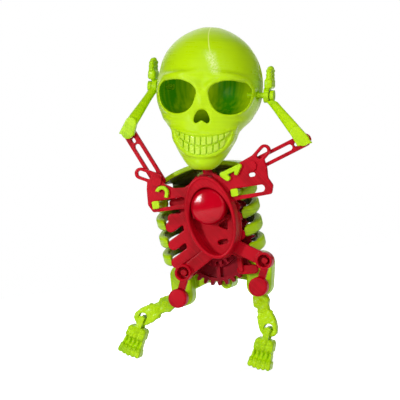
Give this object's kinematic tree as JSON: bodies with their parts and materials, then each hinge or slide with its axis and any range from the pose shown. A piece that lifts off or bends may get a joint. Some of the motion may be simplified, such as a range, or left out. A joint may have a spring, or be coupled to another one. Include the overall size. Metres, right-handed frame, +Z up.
{
  "type": "halloween skeleton figure",
  "caption": "Hand-cranked dancing skeleton toy: geared cam, sliding yoke, open ribs, hollow skull held by raised hands, dangling legs and feet.",
  "frame": {"origin": "on the flat back of the pelvis, below the spine", "axes": "+Z up the spine, -Y the way the figure faces, +X toward the right as seen from the front"},
  "size_m": [0.1202, 0.066, 0.1771],
  "materials": {
    "bone_green": "satin printed layers",
    "mechanism_red": "glossy printed layers"
  },
  "bodies": {
    "torso": {"rib_cage": "bone_green", "rear_plate": "mechanism_red", "front_plate": "mechanism_red", "plate_spacers": "mechanism_red", "guide_pin_left": "bone_green", "guide_pin_right": "bone_green", "pelvis": "bone_green"},
    "gear_train": {"spoked_gear": "mechanism_red", "train_pinion": "mechanism_red", "gear_shaft": "mechanism_red"},
    "cam_drive": {"cam_gear": "mechanism_red", "cam_shaft": "mechanism_red"},
    "cam_disc": {"cam_disc": "mechanism_red"},
    "crank": {"input_pinion": "mechanism_red", "input_shaft": "mechanism_red", "crank_arm": "mechanism_red"},
    "crank_handle": {"crank_handle": "bone_green"},
    "yoke": {"yoke": "mechanism_red", "hip_beam": "mechanism_red", "neck_post": "mechanism_red", "clip_left": "bone_green", "clip_right": "bone_green", "shoulder_pin_left": "mechanism_red", "shoulder_pin_right": "mechanism_red"},
    "head": {"skull": "bone_green", "upper_teeth": "bone_green", "lower_teeth": "bone_green", "temple_peg_left": "bone_green", "temple_peg_right": "bone_green"},
    "upper_arm_left": {"upper_arm_left": "mechanism_red"},
    "forearm_left": {"forearm_left": "bone_green", "elbow_pin_left": "bone_green", "hand_left": "bone_green"},
    "hip_link_left": {"hip_link_left": "mechanism_red"},
    "leg_left": {"leg_left": "bone_green"},
    "foot_left": {"foot_left": "bone_green"},
    "upper_arm_right": {"upper_arm_right": "mechanism_red"},
    "forearm_right": {"forearm_right": "bone_green", "elbow_pin_right": "bone_green", "hand_right": "bone_green"},
    "hip_link_right": {"hip_link_right": "mechanism_red"},
    "leg_right": {"leg_right": "bone_green"},
    "foot_right": {"foot_right": "bone_green"}
  },
  "joints": [
    {"name": "crank_spin", "type": "hinge", "parent": "torso", "child": "crank", "pos_m": [0, 0, 0.03998], "axis": [0, -1, 0], "continuous": true},
    {"name": "drive_gear_spin", "type": "hinge", "parent": "torso", "child": "gear_train", "pos_m": [0.003, -0.017, 0.01363], "axis": [0, -1, 0], "continuous": true},
    {"name": "handle_spin", "type": "hinge", "parent": "crank", "child": "crank_handle", "pos_m": [0, 0.01, 0.01998], "axis": [0, -1, 0], "continuous": true},
    {"name": "cam_shaft_spin", "type": "hinge", "parent": "torso", "child": "cam_drive", "pos_m": [0, -0.022, 0.0315], "axis": [0, -1, 0], "continuous": true},
    {"name": "yoke_slide", "type": "slide", "parent": "torso", "child": "yoke", "axis": [1, 0, 0], "range_m": [-0.0132, 0.0003]},
    {"name": "cam_disc_spin", "type": "hinge", "parent": "yoke", "child": "cam_disc", "pos_m": [0.0063, -0.033, 0.03431], "axis": [0, -1, 0], "continuous": true},
    {"name": "head_tilt", "type": "hinge", "parent": "yoke", "child": "head", "pos_m": [0.0063, -0.026, 0.0615], "axis": [0, -1, 0], "range_deg": [-4, 4]},
    {"name": "shoulder_left", "type": "hinge", "parent": "yoke", "child": "upper_arm_left", "pos_m": [-0.0186, -0.0293, 0.05081], "axis": [0, -1, 0], "range_deg": [-6.86, 6.86]},
    {"name": "elbow_left", "type": "hinge", "parent": "upper_arm_left", "child": "forearm_left", "pos_m": [-0.03016, -0.0293, 0.0774], "axis": [0, -1, 0], "range_deg": [-8.2, 8.2]},
    {"name": "hip_link_left", "type": "hinge", "parent": "yoke", "child": "hip_link_left", "pos_m": [-0.0131, -0.0265, 0.00311], "axis": [0, -1, 0], "range_deg": [-1.4, 56.7]},
    {"name": "hip_left", "type": "hinge", "parent": "torso", "child": "leg_left", "pos_m": [-0.0204, -0.0178, -0.0092], "axis": [0, -1, 0], "range_deg": [-15, 45]},
    {"name": "ankle_left", "type": "hinge", "parent": "leg_left", "child": "foot_left", "pos_m": [-0.04154, -0.0178, -0.0169], "axis": [0, -1, 0], "range_deg": [-35, 20]},
    {"name": "shoulder_right", "type": "hinge", "parent": "yoke", "child": "upper_arm_right", "pos_m": [0.0312, -0.0293, 0.05081], "axis": [0, -1, 0], "range_deg": [-6.16, 6.16]},
    {"name": "elbow_right", "type": "hinge", "parent": "upper_arm_right", "child": "forearm_right", "pos_m": [0.05889, -0.0293, 0.05943], "axis": [0, -1, 0], "range_deg": [-4.59, 4.59]},
    {"name": "hip_link_right", "type": "hinge", "parent": "yoke", "child": "hip_link_right", "pos_m": [0.0293, -0.0265, 0.00311], "axis": [0, -1, 0], "range_deg": [-1.4, 56.7]},
    {"name": "hip_right", "type": "hinge", "parent": "torso", "child": "leg_right", "pos_m": [0.0204, -0.0178, -0.0092], "axis": [0, -1, 0], "range_deg": [-15, 40]},
    {"name": "ankle_right", "type": "hinge", "parent": "leg_right", "child": "foot_right", "pos_m": [0.02314, -0.0178, -0.03153], "axis": [0, -1, 0], "range_deg": [-10, 35]}
  ],
  "couplings": [
    {"joint": "drive_gear_spin", "follows": "crank_spin", "ratio": -0.375},
    {"joint": "cam_shaft_spin", "follows": "crank_spin", "ratio": 0.375},
    {"joint": "cam_disc_spin", "follows": "crank_spin", "ratio": 0.375},
    {"joint": "shoulder_left", "follows": "head_tilt", "ratio": 1.7112},
    {"joint": "elbow_left", "follows": "head_tilt", "ratio": -2.0465},
    {"joint": "hip_link_left", "follows": "yoke_slide", "rad_per_m": -74.73},
    {"joint": "shoulder_right", "follows": "head_tilt", "ratio": 1.5354},
    {"joint": "elbow_right", "follows": "head_tilt", "ratio": -1.145},
    {"joint": "hip_link_right", "follows": "yoke_slide", "rad_per_m": -74.73}
  ]
}
